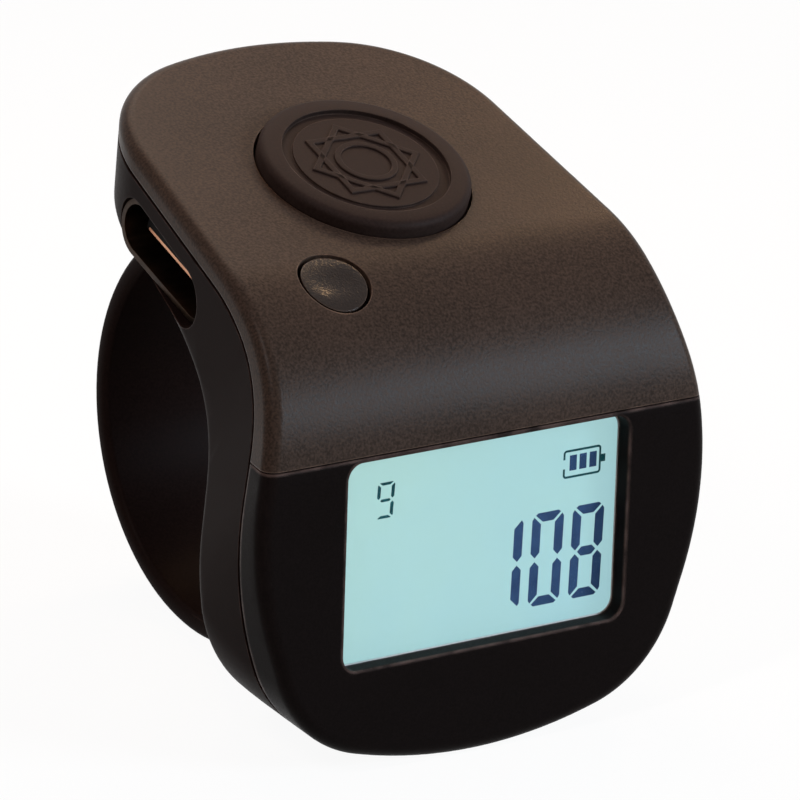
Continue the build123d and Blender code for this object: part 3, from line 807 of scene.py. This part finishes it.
@dataclass(frozen=True)
class SevenSegment:
    """Figure of seven segments on the display, in millimetres from its lower left corner.

    Attributes:
        width: Width of the figure.
        height: Height of the figure.
        upright: Width of an upright segment.
        bar: Height of a level segment.
        tip: Drop of an upright's point below the top.
        shoulder: Drop of its outer edge below the top.
        mitre: Drop of its inner edge below the top.
        gap: Gap between the upper and the lower uprights.
        slant: Lean to the right for each millimetre of height.
        bar_top: Start of the outer edge of the upper and lower bars.
        bar_end: Place of their ends, from the side and from the outer edge.
        bar_inner: Start of their inner edge.
    """

    width: float
    height: float
    upright: float
    bar: float
    tip: float
    shoulder: float
    mitre: float
    gap: float
    slant: float
    bar_top: float
    bar_end: Point
    bar_inner: float

    tip_share: ClassVar[float] = 0.2
    bridge_share: ClassVar[float] = 0.7
    segments: ClassVar[dict[str, str]] = {"0": "abcdef", "1": "bc", "8": "abcdefg", "9": "abcdfg"}

    def _both_halves(self, left_half: list[Point]) -> list[Point]:
        """Corners of a bar from those of its left half."""
        return left_half + [(self.width - x, y) for x, y in reversed(left_half)]

    def outline(self, segment: str) -> list[Point]:
        """Corners of one segment.

        Args:
            segment: Letter of the segment, a at the top, then clockwise, g in the middle.

        Returns:
            The corners in order.
        """
        middle = self.height / 2
        point = self.upright / 2
        if segment == "g":
            half = self.bar / 2
            left = point + self.gap * self.bridge_share
            end = left + half
            return self._both_halves([(end, middle - half), (left, middle), (end, middle + half)])
        if segment in "ad":
            end, drop = self.bar_end
            inner_corner = (self.bar_inner, self.height - self.bar)
            end_corner = (end, self.height - drop)
            bar = self._both_halves([inner_corner, end_corner, (self.bar_top, self.height)])
            return bar if segment == "a" else [(x, self.height - y) for x, y in bar]
        upright = [
            (0, self.height - self.shoulder),
            (self.upright * self.tip_share, self.height - self.tip),
            (self.upright, self.height - self.mitre),
            (self.upright, middle + self.gap / 2 + point),
            (point, middle + self.gap / 2),
            (0, middle + self.gap / 2 + point),
        ]
        if segment in "bc":
            upright = [(self.width - x, y) for x, y in upright]
        if segment in "ce":
            upright = [(x, self.height - y) for x, y in upright]
        return upright

    def draw(self, mesh: Mesh, figure: str, left: float, low: float) -> None:
        """Adds a figure's segments to a flat mesh.

        Args:
            mesh: Mesh to add to.
            figure: Figure to draw.
            left: Its left edge on the display.
            low: Its lower edge on the display.
        """
        for segment in self.segments[figure]:
            verts = []
            for x, y in self.outline(segment):
                verts.append(mesh.verts.new(((left + x + self.slant * y) * MM, (low + y) * MM, 0)))
            mesh.faces.new(verts)


@dataclass
class Display:
    """Film of the panel, its figures and the seal round the window, in millimetres on the front face."""

    counter: CounterFrame
    film_low: Point = (-9.2, -7.25)
    film_high: Point = (9.5, 4.7)
    film_corner: float = 0.1
    film_thick: float = 0.03
    tone_half_width: float = 9
    figure_thick: float = 0.01
    seal_width: float = 0.5
    seal_show: float = 0.07
    seal_thick: float = 0.03
    window_low: Point = (-8.8, -6.84)
    window_high: Point = (8.8, 4.26)
    window_corner: float = 0.9
    count: str = "108"
    big: SevenSegment = SevenSegment(
        width=2.01, height=5.06, upright=0.56, bar=0.5, tip=0.2, shoulder=0.37, mitre=0.62, gap=0.2,
        slant=0.026, bar_top=0.35, bar_end=(0.21, 0.11), bar_inner=0.67,
    )
    big_left: float = 6.33
    big_low: float = -5.9
    big_pitch: float = 2.58
    rounds: str = "9"
    small: SevenSegment = SevenSegment(
        width=1.06, height=1.92, upright=0.2, bar=0.15, tip=0.1, shoulder=0.14, mitre=0.24, gap=0.16,
        slant=0.06, bar_top=0.16, bar_end=(0.12, 0.03), bar_inner=0.3,
    )
    small_left: float = -6.03
    small_low: float = 0.5
    sign_low: Point = (5.7, 0.77)
    sign_high: Point = (8.11, 2.31)
    sign_corner: float = 0.2
    sign_stroke: float = 0.12
    sign_gap: Point = (1.3, 1.8)
    nub_low: Point = (8.11, 1.36)
    nub_high: Point = (8.39, 1.77)
    bars: tuple[float, float, float] = (6.11, 6.74, 7.38)
    bar_width: float = 0.45
    bar_span: Point = (1.17, 2.0)

    @property
    def panel(self) -> float:
        """Distance of the panel's face from the origin in metres."""
        return self.counter.reach("lcd_panel", self.counter.front)

    def film_finish(self) -> Backlit:
        """Finish of the film, whose tone changes from its upper left to its lower right.

        Returns:
            The finish.
        """
        low, high = (Vector(corner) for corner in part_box("lcd_panel"))
        return Backlit(
            "lit_film",
            green=tone(172, 212, 206),
            blue=tone(162, 206, 214),
            unlit=tone(70, 90, 90),
            glow=0.85,
            middle=(low + high) / 2,
            across=(self.counter.right - self.counter.front_up).normalized(),
            half_width=self.tone_half_width * MM,
        )

    @staticmethod
    def _rectangle(mesh: Mesh, low: Point, high: Point) -> None:
        """Adds a flat rectangle given in millimetres."""
        corners = (low, (high[0], low[1]), high, (low[0], high[1]))
        mesh.faces.new([mesh.verts.new((x * MM, y * MM, 0)) for x, y in corners])

    def _count(self) -> Mesh:
        """Large figures, set from the right.

        Returns:
            Their flat mesh.
        """
        mesh = bmesh.new()
        for position, figure in enumerate(reversed(self.count)):
            self.big.draw(mesh, figure, self.big_left - position * self.big_pitch, self.big_low)
        return mesh

    def _rounds(self) -> Mesh:
        """Small figure.

        Returns:
            Its flat mesh.
        """
        mesh = bmesh.new()
        self.small.draw(mesh, self.rounds, self.small_left, self.small_low)
        return mesh

    def _sign(self) -> Mesh:
        """Battery sign: an outline that is open on the left, and a nub.

        Returns:
            Its flat mesh.
        """
        mesh = bmesh.new()
        rounded_plate(mesh, self.sign_low, self.sign_high, self.sign_corner)
        hollow_out(mesh, self.sign_stroke * MM)
        low, high = self.sign_gap
        for level in (low, high):
            cut = mesh.verts[:] + mesh.edges[:] + mesh.faces[:]
            bmesh.ops.bisect_plane(mesh, geom=cut, plane_co=(0, level * MM, 0), plane_no=(0, 1, 0))
        stroke_end = self.sign_low[0] + self.sign_stroke
        gap = []
        for face in mesh.faces:
            middle = face.calc_center_median() / MM
            if middle.x < stroke_end and low < middle.y < high:
                gap.append(face)
        bmesh.ops.delete(mesh, geom=gap, context="FACES")
        self._rectangle(mesh, self.nub_low, self.nub_high)
        return mesh

    def _charge(self) -> Mesh:
        """Bars inside the battery sign.

        Returns:
            Their flat mesh.
        """
        mesh = bmesh.new()
        low, high = self.bar_span
        for left in self.bars:
            self._rectangle(mesh, (left, low), (left + self.bar_width, high))
        return mesh

    def build(self, film: Material, ink: Material, fine_ink: Material) -> None:
        """Adds the film and its figures.

        Args:
            film: Finish of the film.
            ink: Finish of the large figures and the battery's bars.
            fine_ink: Finish of the small figure and the battery sign.
        """
        sheet = bmesh.new()
        rounded_plate(sheet, self.film_low, self.film_high, self.film_corner)
        raise_faces(sheet, self.film_thick * MM)
        add_piece("polariser_film", sheet, self.counter.on_front(self.panel), film, "housing")
        surface = self.counter.on_front(self.panel + self.film_thick * MM)
        for name, mesh, finish in (
            ("count_figures", self._count(), ink),
            ("round_figure", self._rounds(), fine_ink),
            ("battery_sign", self._sign(), fine_ink),
            ("battery_bars", self._charge(), ink),
        ):
            raise_faces(mesh, self.figure_thick * MM)
            add_piece(name, mesh, surface, finish, "housing")

    def seal(self, white: Material) -> None:
        """Adds the bonding seal between the window and its seat, of which a thin line shows.

        Args:
            white: Finish of the seal.
        """
        ring = bmesh.new()
        low = (self.window_low[0] - self.seal_width, self.window_low[1] - self.seal_width)
        high = (self.window_high[0] + self.seal_width, self.window_high[1] + self.seal_width)
        rounded_plate(ring, low, high, self.window_corner + self.seal_width)
        hollow_out(ring, (self.seal_width + self.seal_show) * MM)
        raise_faces(ring, self.seal_thick * MM)
        front = self.counter.reach("display_window", self.counter.front)
        add_piece("window_seal", ring, self.counter.on_front(front), white, "housing")


@dataclass
class ButtonStar:
    """Raised ornament on the count button: two crossed squares and a ring, in millimetres."""

    counter: CounterFrame
    disc_drop: float = 0.15
    square_radius: float = 3.35
    ring_radius: float = 1.7
    ring_steps: int = 48
    stroke: float = 0.36
    height: float = 0.13
    soften: float = 0.05
    soften_steps: int = 3
    sharp_angle: float = 1.0
    sink: float = 0.02

    def _band(self, mesh: Mesh, radius: float, corners: int, turn: float) -> None:
        """Adds a raised closed band of even width, with softened upper edges.

        Args:
            mesh: Mesh to add to.
            radius: Radius of its outer corners.
            corners: Number of its corners.
            turn: Angle of its first corner.
        """
        band = bmesh.new()
        spin = Matrix.Rotation(turn, 4, "Z")
        bmesh.ops.create_circle(band, cap_ends=True, radius=radius * MM, segments=corners, matrix=spin)
        hollow_out(band, self.stroke * MM)
        raise_faces(band, self.height * MM)
        upper_edges = []
        for edge in band.edges:
            upper = all(vert.co.z > self.height * MM / 2 for vert in edge.verts)
            if upper and edge.calc_face_angle(0) > self.sharp_angle:
                upper_edges.append(edge)
        bmesh.ops.bevel(
            band, geom=upper_edges, offset=self.soften * MM, segments=self.soften_steps,
            profile=0.5, affect="EDGES", material=-1,
        )
        data = bpy.data.meshes.new("band")
        band.to_mesh(data)
        band.free()
        mesh.from_mesh(data)
        bpy.data.meshes.remove(data)

    def build(self, material: Material) -> None:
        """Adds the ornament.

        Args:
            material: Finish of the button.
        """
        star = bmesh.new()
        for turn in (0, math.pi / 4):
            self._band(star, self.square_radius, 4, turn)
        self._band(star, self.ring_radius, self.ring_steps, 0)
        rim = self.counter.reach("count_button", self.counter.top)
        where = self.counter.on_top(rim - (self.disc_drop + self.sink) * MM)
        add_piece("button_star", star, where, material, "count_button")


@dataclass
class TonguePlate:
    """Plated lower edge at the front of the charging socket's tongue, in millimetres."""

    counter: CounterFrame
    node: str = "usb_tongue"
    height: float = 0.16
    rise: float = 0.02
    inset: float = 0.25
    corner: float = 0.06
    thick: float = 0.04
    sink: float = 0.01

    def build(self, material: Material) -> None:
        """Adds the plated edge.

        Args:
            material: Finish of the plating.
        """
        right = self.counter.right
        top = self.counter.top
        along = right.cross(top)
        points = [vertex.co for vertex in frame["nodes"][self.node].data.vertices]
        end = min(point.x for point in points)
        tip = [point for point in points if point.x < end + self.thick * MM]
        sides = [point.dot(along) / MM for point in tip]
        base = min(point.dot(top) for point in tip) / MM + self.rise
        low = (min(sides) + self.inset, base)
        high = (max(sides) - self.inset, base + self.height)
        edge = bmesh.new()
        rounded_plate(edge, low, high, self.corner)
        raise_faces(edge, self.thick * MM)
        where = place(along, top, -right, right * (end + self.sink * MM))
        add_piece("tongue_plate", edge, where, material, "housing")


@dataclass(frozen=True)
class SoftBox:
    """Rectangular studio lamp, aimed at the object."""

    name: str
    direction: Vector
    distance: float
    width: float
    height: float
    power: float
    colour: tuple[float, float, float]

    def build(self, target: Vector) -> None:
        """Adds the lamp.

        Args:
            target: Point that it is aimed at.
        """
        data = bpy.data.lights.new(self.name, "AREA")
        data.shape = "RECTANGLE"
        data.size = self.width
        data.size_y = self.height
        data.energy = self.power
        data.color = self.colour
        lamp = bpy.data.objects.new(self.name, data)
        direction = self.direction.normalized()
        lamp.location = target + direction * self.distance
        lamp.rotation_euler = (-direction).to_track_quat("-Z", "Y").to_euler()
        bpy.context.scene.collection.objects.link(lamp)


@dataclass
class Studio:
    """Pale floor, white surround, lamps and the camera of the reference view."""

    counter: CounterFrame
    floor_size: float = 2.0
    floor_white: float = 0.85
    floor_glow: float = 1.1
    floor_scale: float = 30
    floor_detail: float = 3
    floor_deep: Colour = (0.52, 0.52, 0.52, 1)
    floor_pale: Colour = (0.58, 0.58, 0.58, 1)
    ambient: float = 0.06
    camera_spot: Vector = field(default_factory=lambda: Vector((-191.18, -280.37, 108.72)))
    camera_right: Vector = field(default_factory=lambda: Vector((0.82186, -0.56883, 0.03124)))
    camera_forward: Vector = field(default_factory=lambda: Vector((0.55039, 0.77868, -0.30122)))
    lens: float = 301.84
    sensor: float = 36.0
    lamps: tuple[SoftBox, ...] = (
        SoftBox(
            "warm_box", Vector((0.12, 0.55, 0.83)), distance=0.1, width=0.06, height=0.06,
            power=0.046, colour=(1.0, 0.77, 0.6),
        ),
        SoftBox(
            "front_box", Vector((0.6, -0.7, 0.36)), distance=0.4, width=0.14, height=0.14,
            power=1.2, colour=(0.7, 0.85, 1.0),
        ),
        SoftBox(
            "rim_box", Vector((-0.65, -0.2, 0.73)), distance=0.4, width=0.03, height=0.1,
            power=0.42, colour=(1.0, 0.86, 0.83),
        ),
        SoftBox(
            "glint_box", Vector((0.66, 0.38, 0.65)), distance=0.3, width=0.05, height=0.05,
            power=0.14, colour=(1.0, 0.62, 0.32),
        ),
    )

    @staticmethod
    def _white_share(bench: NodeBench) -> Socket:
        """Share of the white background: one for rays that show it, none for rays that light the object.

        Args:
            bench: Bench of the material or world.

        Returns:
            The socket of the share.
        """
        path = bench.add("ShaderNodeLightPath")
        share = path.outputs[Rays.CAMERA.value]
        for kind in (Rays.GLOSSY, Rays.TRANSMISSION):
            larger = bench.add("ShaderNodeMath", operation="MAXIMUM")
            bench.link(share, larger.inputs[0])
            bench.link(path.outputs[kind.value], larger.inputs[1])
            share = larger.outputs["Value"]
        return share

    def _floor_paper(self) -> Material:
        """Material of the floor, which shows white and keeps a faint shadow of the object.

        Returns:
            The material.
        """
        material = bpy.data.materials.new("pale_floor")
        material.use_nodes = True
        material.node_tree.nodes.clear()
        bench = NodeBench(material.node_tree)
        matte = bench.add("ShaderNodeBsdfDiffuse")
        paper = bench.noise(self.floor_scale, self.floor_detail, bench.coords())
        bench.link(bench.blend(paper, self.floor_deep, self.floor_pale), matte.inputs["Color"])
        white = bench.add("ShaderNodeEmission")
        white.inputs["Strength"].default_value = self.floor_glow
        mix = bench.add("ShaderNodeMixShader")
        share = bench.span(self._white_share(bench), UNIT, (0, self.floor_white))
        bench.link(share, mix.inputs["Fac"])
        bench.link(matte.outputs["BSDF"], mix.inputs[1])
        bench.link(white.outputs["Emission"], mix.inputs[2])
        bench.link(mix.outputs["Shader"], bench.add("ShaderNodeOutputMaterial").inputs["Surface"])
        return material

    def _floor(self) -> None:
        """Adds the floor under the object."""
        sheet = bmesh.new()
        bmesh.ops.create_grid(sheet, x_segments=1, y_segments=1, size=self.floor_size)
        bmesh.ops.translate(sheet, verts=sheet.verts[:], vec=(0, 0, CAD_BOX[0][2]))
        data = bpy.data.meshes.new("floor")
        sheet.to_mesh(data)
        sheet.free()
        data.materials.append(self._floor_paper())
        floor = bpy.data.objects.new("floor", data)
        bpy.context.scene.collection.objects.link(floor)

    def _surround(self) -> None:
        """Sets the world: white where it is seen, a low even light elsewhere."""
        world = bpy.data.worlds.new("surround")
        bpy.context.scene.world = world
        world.use_nodes = True
        bench = NodeBench(world.node_tree)
        background = world.node_tree.nodes["Background"]
        background.inputs["Color"].default_value = (1, 1, 1, 1)
        strength = bench.span(self._white_share(bench), UNIT, (self.ambient, 1))
        bench.link(strength, background.inputs["Strength"])

    def _camera(self) -> None:
        """Adds the camera, given in millimetres in the front's upright frame and turned with its lean."""
        data = bpy.data.cameras.new("view")
        data.lens = self.lens
        data.sensor_width = self.sensor
        camera = bpy.data.objects.new("view", data)
        forward = self.camera_forward.normalized()
        right = (self.camera_right - forward * self.camera_right.dot(forward)).normalized()
        upright = place(right, right.cross(forward), -forward, self.camera_spot * MM)
        camera.matrix_world = Matrix.Rotation(-self.counter.lean, 4, "X") @ upright
        bpy.context.scene.collection.objects.link(camera)
        bpy.context.scene.camera = camera

    def build(self) -> None:
        """Adds the studio."""
        low, high = (Vector(corner) for corner in CAD_BOX)
        for lamp in self.lamps:
            lamp.build((low + high) / 2)
        self._floor()
        self._surround()
        self._camera()
        bpy.context.scene.view_settings.view_transform = "Standard"


# The edge tones below are painted highlights along the edges.
FINISHES = (
    Plastic(
        "housing_brown", tone(44, 34, 28), tone(74, 58, 49), roughness=(0.28, 0.4), specular=0.055,
        grain=7000, depth=0.007 * MM, edge_highlight_tone=tone(120, 92, 76), polish=0.5,
    ),
    # The housing's plastic for the rear shell, with a smoother grain and darker tones: the darkness is painted
    # shade on its shaded flank and finger bore.
    Plastic(
        "shell_brown_painted_shade", tone(25, 17, 15), tone(33, 23, 21), roughness=(0.36, 0.44), specular=0.012,
        grain=7000, depth=0.002 * MM, edge_highlight_tone=tone(84, 64, 58), polish=0.25,
    ),
    Plastic(
        "front_black", tone(13, 8, 7), tone(19, 13, 12), roughness=(0.34, 0.46), specular=0.025,
        grain=9000, depth=0.002 * MM, edge_width=0.3 * MM, edge_highlight_tone=tone(108, 84, 76), polish=0.35,
    ),
    Plastic(
        "button_soft", tone(38, 28, 25), tone(50, 38, 34), roughness=(0.5, 0.62), specular=0.045,
        grain=7000, depth=0.004 * MM, edge_highlight_tone=tone(86, 70, 62),
    ),
    Plastic(
        "reset_satin", tone(34, 25, 21), tone(46, 35, 29), roughness=(0.12, 0.22), specular=0.14,
        grain=9000, depth=0.014 * MM, edge_highlight_tone=tone(96, 78, 66),
    ),
    Plastic(
        "panel_glass", tone(150, 190, 190), tone(176, 214, 214), roughness=(0.1, 0.2), specular=0.5,
    ),
    Plastic(
        "light_guide", tone(222, 236, 234), tone(240, 248, 246), roughness=(0.12, 0.2), specular=0.5,
        grain=3000,
    ),
    Plastic(
        "lamp_white", tone(236, 226, 180), tone(250, 246, 220), roughness=(0.3, 0.4), specular=0.5,
        grain=5000,
    ),
    Plastic(
        "holder_white", tone(214, 216, 212), tone(230, 231, 228), roughness=(0.4, 0.5), specular=0.4,
        grain=6000,
    ),
    Plastic(
        "switch_black", tone(26, 26, 27), tone(38, 38, 39), roughness=(0.4, 0.52), specular=0.4,
        grain=9000,
    ),
    Plastic(
        "stem_white", tone(206, 200, 190), tone(222, 217, 208), roughness=(0.35, 0.45), specular=0.4,
    ),
    Plastic(
        "tongue_black", tone(12, 12, 12), tone(20, 19, 19), roughness=(0.35, 0.5), specular=0.06,
        grain=9000,
    ),
    Plastic(
        "tape_foam", tone(54, 54, 55), tone(84, 84, 86), roughness=(0.8, 0.95), specular=0.1,
        grain=4000, depth=0.02 * MM,
    ),
    Plastic(
        "chip_black", tone(28, 28, 29), tone(42, 42, 43), roughness=(0.5, 0.65), specular=0.35,
        grain=12000, depth=0.004 * MM,
    ),
    Plastic(
        "part_ceramic", tone(150, 120, 84), tone(190, 164, 126), roughness=(0.4, 0.55), specular=0.4,
        grain=9000,
    ),
    Metal("screw_steel", tone(150, 150, 152), tone(188, 188, 190)),
    # Dark brown tones on the socket's steel: painted shade for the inside of the charging slot.
    Metal("socket_steel", tone(36, 28, 23), tone(62, 47, 36), roughness=(0.35, 0.5)),
    Metal("contact_gold", tone(206, 160, 74), tone(236, 198, 112), roughness=(0.15, 0.28)),
    Metal("tongue_copper", tone(214, 158, 126), tone(240, 188, 154), roughness=(0.4, 0.55)),
    Metal(
        "cell_foil", tone(188, 188, 192), tone(214, 214, 218), roughness=(0.25, 0.45),
        marks=(900, 900, 900),
    ),
    Metal("lead_nickel", tone(178, 172, 160), tone(204, 200, 190)),
    Metal("crystal_steel", tone(186, 186, 184), tone(212, 212, 210), roughness=(0.16, 0.3)),
    Layers("strip_rubber", tone(40, 40, 44), tone(196, 198, 204), pitch=0.18 * MM),
    Layers("ribbon_amber", tone(150, 92, 30), tone(206, 142, 58), pitch=0.5 * MM),
    SolderMask("board_green", tone(18, 74, 44), tone(38, 112, 66)),
    ClearPlate("clear_plate", (1, 1, 1, 1)),
    Ink("figure_ink", tone(26, 47, 78), tone(36, 59, 90)),
    Ink("sign_ink", tone(6, 50, 56), tone(16, 64, 68)),
)

# Nodes whose finish isn't named as their slot is. The rear shell gets a darker copy of the housing's plastic: the
# darkness is painted shade on its shaded flank and finger bore.
NODE_FINISHES = {"rear_shell": "shell_brown_painted_shade", "lcd_panel": "panel_glass"}


def dress(effects: Effects, smoothing: Smoothing) -> dict[str, Material]:
    """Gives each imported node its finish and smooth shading.

    Args:
        effects: Shared node groups.
        smoothing: Shading of curved faces.

    Returns:
        The materials by name.
    """
    made = {finish.name: finish.make(effects) for finish in FINISHES}
    for part in frame["record"]["subparts"]:
        finish_name = NODE_FINISHES.get(part["node"], part["material_slot"])
        node = frame["nodes"][part["node"]]
        node.data.materials.clear()
        node.data.materials.append(made[finish_name])
        smoothing.apply(node)
        LOG.info("node %s: %s", part["node"], finish_name)
    return made


def main() -> None:
    """Builds the classes in order."""
    logging.basicConfig(level=logging.INFO, format="%(name)s: %(message)s")
    counter = CounterFrame()
    effects = Effects()
    made = dress(effects, Smoothing())
    display = Display(counter)
    display.build(display.film_finish().make(effects), made["figure_ink"], made["sign_ink"])
    display.seal(made["holder_white"])
    ButtonStar(counter).build(made["button_soft"])
    TonguePlate(counter).build(made["tongue_copper"])
    Studio(counter).build()


if __name__ == "__main__":
    main()
